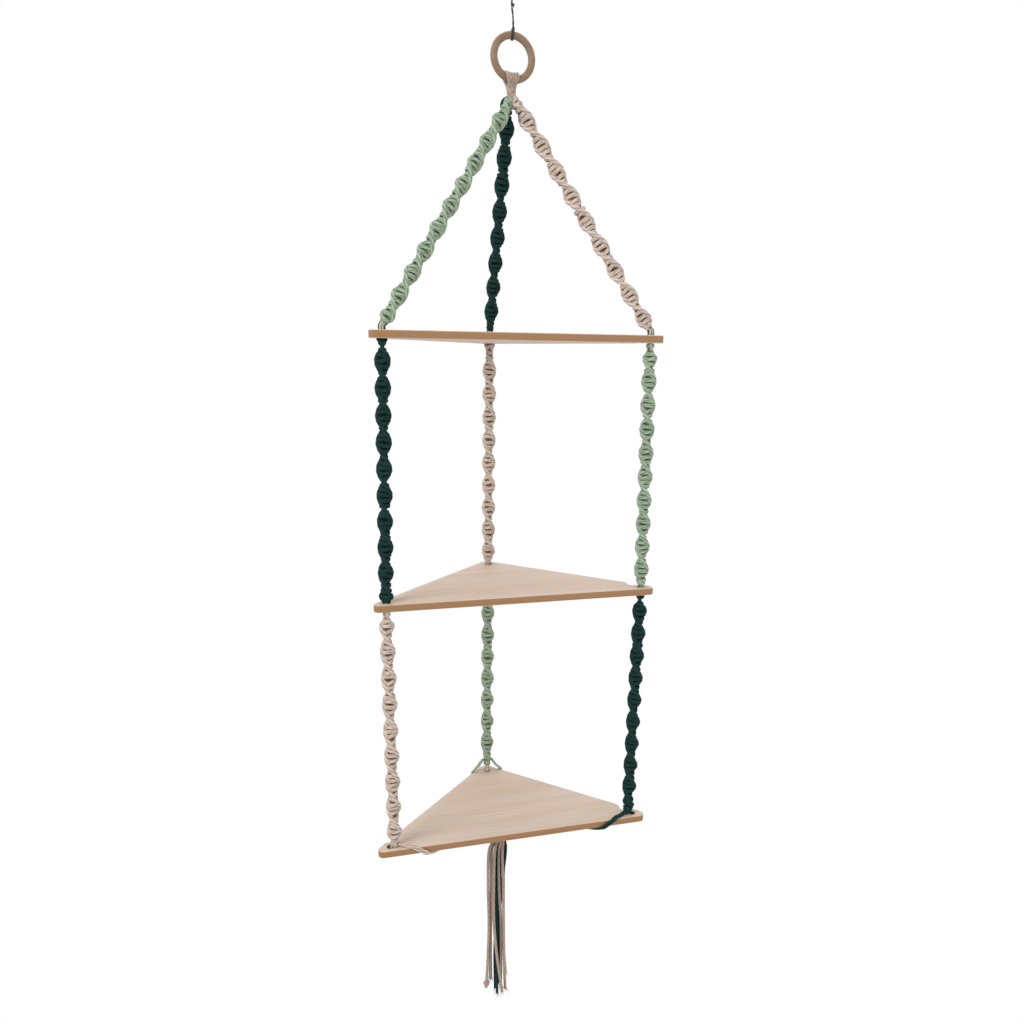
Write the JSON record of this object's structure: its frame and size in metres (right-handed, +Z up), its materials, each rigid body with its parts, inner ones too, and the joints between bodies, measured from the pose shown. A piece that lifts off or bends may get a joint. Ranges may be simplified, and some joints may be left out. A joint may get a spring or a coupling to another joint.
{
  "type": "hanging rope shelf",
  "caption": "Hanging shelf: triangular wooden boards carried at their corners by twisted knotted rope columns from a wooden ring, with a tassel of loose cord ends.",
  "frame": {"origin": "centre of the flat top of the ceiling plate", "axes": "+Z up, +X to the right along the boards' front edges, +Y to their back corner"},
  "size_m": [0.3794, 0.2046, 1.4241],
  "materials": {
    "hook_steel": "plain",
    "dark_cord": "twisted cord",
    "ring_wood": "smooth, unpainted",
    "board_wood": "sanded pine, tan edges",
    "beige_cord": "cotton cord",
    "mint_cord": "cotton cord",
    "forest_cord": "cotton cord"
  },
  "bodies": {
    "ceiling_hook": {"ceiling_hook": "hook_steel"},
    "hanger_cord": {"hanger_cord": "dark_cord"},
    "hanger_loop": {"hanger_loop": "dark_cord"},
    "ring": {"ring": "ring_wood"},
    "top_shelf": {"ring_strands": "beige_cord", "gathering_wrap": "beige_cord", "column_top_left": "mint_cord", "column_top_back": "forest_cord", "column_top_right": "beige_cord", "board_top": "board_wood", "cords_top_left": "forest_cord", "cords_top_back": "beige_cord", "cords_top_right": "mint_cord"},
    "neck_middle_left": {"neck_middle_left": "forest_cord"},
    "column_middle_left": {"column_middle_left": "forest_cord"},
    "neck_middle_back": {"neck_middle_back": "beige_cord"},
    "column_middle_back": {"column_middle_back": "beige_cord"},
    "neck_middle_right": {"neck_middle_right": "mint_cord"},
    "column_middle_right": {"column_middle_right": "mint_cord"},
    "foot_middle_back": {"foot_middle_back": "beige_cord"},
    "middle_shelf": {"board_middle": "board_wood", "cords_middle_left": "beige_cord", "cords_middle_back": "mint_cord", "cords_middle_right": "forest_cord", "foot_middle_left": "forest_cord", "foot_middle_right": "mint_cord"},
    "neck_bottom_left": {"neck_bottom_left": "beige_cord"},
    "column_bottom_left": {"column_bottom_left": "beige_cord"},
    "neck_bottom_back": {"neck_bottom_back": "mint_cord"},
    "column_bottom_back": {"column_bottom_back": "mint_cord"},
    "neck_bottom_right": {"neck_bottom_right": "forest_cord"},
    "column_bottom_right": {"column_bottom_right": "forest_cord"},
    "foot_bottom_back": {"foot_bottom_back": "mint_cord"},
    "bottom_shelf": {"board_bottom": "board_wood", "cords_bottom_left": "beige_cord", "cords_bottom_back": "mint_cord", "cords_bottom_right": "forest_cord", "foot_bottom_left": "beige_cord", "foot_bottom_right": "forest_cord", "strap_front_left": "beige_cord", "strap_side_left": "beige_cord", "strap_front_right": "forest_cord", "strap_side_right": "forest_cord", "strap_back_left": "mint_cord", "strap_back_right": "mint_cord", "strap_gather": "beige_cord"},
    "tassel_tie": {"tassel_tie": "beige_cord", "tassel_wrap": "beige_cord"},
    "tassel": {"strand_beige_1": "beige_cord", "strand_beige_2": "beige_cord", "strand_beige_3": "beige_cord", "strand_beige_4": "beige_cord", "strand_beige_5": "beige_cord", "strand_forest_1": "forest_cord", "strand_forest_2": "forest_cord", "strand_forest_3": "forest_cord", "strand_forest_4": "forest_cord", "strand_mint_1": "mint_cord", "strand_mint_2": "mint_cord", "strand_mint_3": "mint_cord"}
  },
  "joints": [
    {"name": "hanger_swing", "type": "hinge", "parent": "ceiling_hook", "child": "hanger_cord", "pos_m": [0, 0, -0.042], "axis": [0, 1, 0], "range_deg": [-20, 20]},
    {"name": "hanger_turn", "type": "hinge", "parent": "hanger_cord", "child": "hanger_loop", "pos_m": [0, 0, -0.0702], "axis": [0, 0, 1], "range_deg": [-90, 90]},
    {"name": "ring_tilt", "type": "hinge", "parent": "hanger_loop", "child": "ring", "pos_m": [0, 0, -0.0895], "axis": [0.9903, 0.1392, 0], "range_deg": [-30, 30]},
    {"name": "rope_swing", "type": "hinge", "parent": "ring", "child": "top_shelf", "pos_m": [0, 0, -0.1405], "axis": [0.9903, 0.1392, 0], "range_deg": [-20, 20]},
    {"name": "middle_sway_x", "type": "hinge", "parent": "top_shelf", "child": "neck_middle_back", "pos_m": [0, 0.11402, -0.4653], "axis": [1, 0, 0], "range_deg": [-8, 8]},
    {"name": "middle_sway_y", "type": "hinge", "parent": "neck_middle_back", "child": "column_middle_back", "pos_m": [0, 0.11402, -0.4653], "axis": [0, 1, 0], "range_deg": [-8, 8]},
    {"name": "middle_foot_y", "type": "hinge", "parent": "column_middle_back", "child": "foot_middle_back", "pos_m": [0, 0.11402, -0.781], "axis": [0, 1, 0], "range_deg": [-8, 8]},
    {"name": "middle_foot_x", "type": "hinge", "parent": "foot_middle_back", "child": "middle_shelf", "pos_m": [0, 0.11402, -0.781], "axis": [1, 0, 0], "range_deg": [-8, 8]},
    {"name": "middle_left_x", "type": "hinge", "parent": "top_shelf", "child": "neck_middle_left", "pos_m": [-0.1735, -0.05798, -0.4653], "axis": [1, 0, 0], "range_deg": [-8, 8]},
    {"name": "middle_left_y", "type": "hinge", "parent": "neck_middle_left", "child": "column_middle_left", "pos_m": [-0.1735, -0.05798, -0.4653], "axis": [0, 1, 0], "range_deg": [-8, 8]},
    {"name": "middle_right_x", "type": "hinge", "parent": "top_shelf", "child": "neck_middle_right", "pos_m": [0.1735, -0.05798, -0.4653], "axis": [1, 0, 0], "range_deg": [-8, 8]},
    {"name": "middle_right_y", "type": "hinge", "parent": "neck_middle_right", "child": "column_middle_right", "pos_m": [0.1735, -0.05798, -0.4653], "axis": [0, 1, 0], "range_deg": [-8, 8]},
    {"name": "bottom_sway_x", "type": "hinge", "parent": "middle_shelf", "child": "neck_bottom_back", "pos_m": [0, 0.11402, -0.8023], "axis": [1, 0, 0], "range_deg": [-8, 8]},
    {"name": "bottom_sway_y", "type": "hinge", "parent": "neck_bottom_back", "child": "column_bottom_back", "pos_m": [0, 0.11402, -0.8023], "axis": [0, 1, 0], "range_deg": [-8, 8]},
    {"name": "bottom_foot_y", "type": "hinge", "parent": "column_bottom_back", "child": "foot_bottom_back", "pos_m": [0, 0.11402, -1.118], "axis": [0, 1, 0], "range_deg": [-8, 8]},
    {"name": "bottom_foot_x", "type": "hinge", "parent": "foot_bottom_back", "child": "bottom_shelf", "pos_m": [0, 0.11402, -1.118], "axis": [1, 0, 0], "range_deg": [-8, 8]},
    {"name": "bottom_left_x", "type": "hinge", "parent": "middle_shelf", "child": "neck_bottom_left", "pos_m": [-0.1735, -0.05798, -0.8023], "axis": [1, 0, 0], "range_deg": [-8, 8]},
    {"name": "bottom_left_y", "type": "hinge", "parent": "neck_bottom_left", "child": "column_bottom_left", "pos_m": [-0.1735, -0.05798, -0.8023], "axis": [0, 1, 0], "range_deg": [-8, 8]},
    {"name": "bottom_right_x", "type": "hinge", "parent": "middle_shelf", "child": "neck_bottom_right", "pos_m": [0.1735, -0.05798, -0.8023], "axis": [1, 0, 0], "range_deg": [-8, 8]},
    {"name": "bottom_right_y", "type": "hinge", "parent": "neck_bottom_right", "child": "column_bottom_right", "pos_m": [0.1735, -0.05798, -0.8023], "axis": [0, 1, 0], "range_deg": [-8, 8]},
    {"name": "tassel_swing_x", "type": "hinge", "parent": "bottom_shelf", "child": "tassel_tie", "pos_m": [-0.01, 0, -1.146], "axis": [1, 0, 0], "range_deg": [-12, 12]},
    {"name": "tassel_swing_y", "type": "hinge", "parent": "tassel_tie", "child": "tassel", "pos_m": [-0.01, 0, -1.1659], "axis": [0, 1, 0], "range_deg": [-12, 12]}
  ],
  "couplings": [
    {"joint": "middle_foot_y", "follows": "middle_sway_y", "ratio": -1},
    {"joint": "middle_foot_x", "follows": "middle_sway_x", "ratio": -1},
    {"joint": "middle_left_x", "follows": "middle_sway_x", "ratio": 1},
    {"joint": "middle_left_y", "follows": "middle_sway_y", "ratio": 1},
    {"joint": "middle_right_x", "follows": "middle_sway_x", "ratio": 1},
    {"joint": "middle_right_y", "follows": "middle_sway_y", "ratio": 1},
    {"joint": "bottom_foot_y", "follows": "bottom_sway_y", "ratio": -1},
    {"joint": "bottom_foot_x", "follows": "bottom_sway_x", "ratio": -1},
    {"joint": "bottom_left_x", "follows": "bottom_sway_x", "ratio": 1},
    {"joint": "bottom_left_y", "follows": "bottom_sway_y", "ratio": 1},
    {"joint": "bottom_right_x", "follows": "bottom_sway_x", "ratio": 1},
    {"joint": "bottom_right_y", "follows": "bottom_sway_y", "ratio": 1}
  ]
}
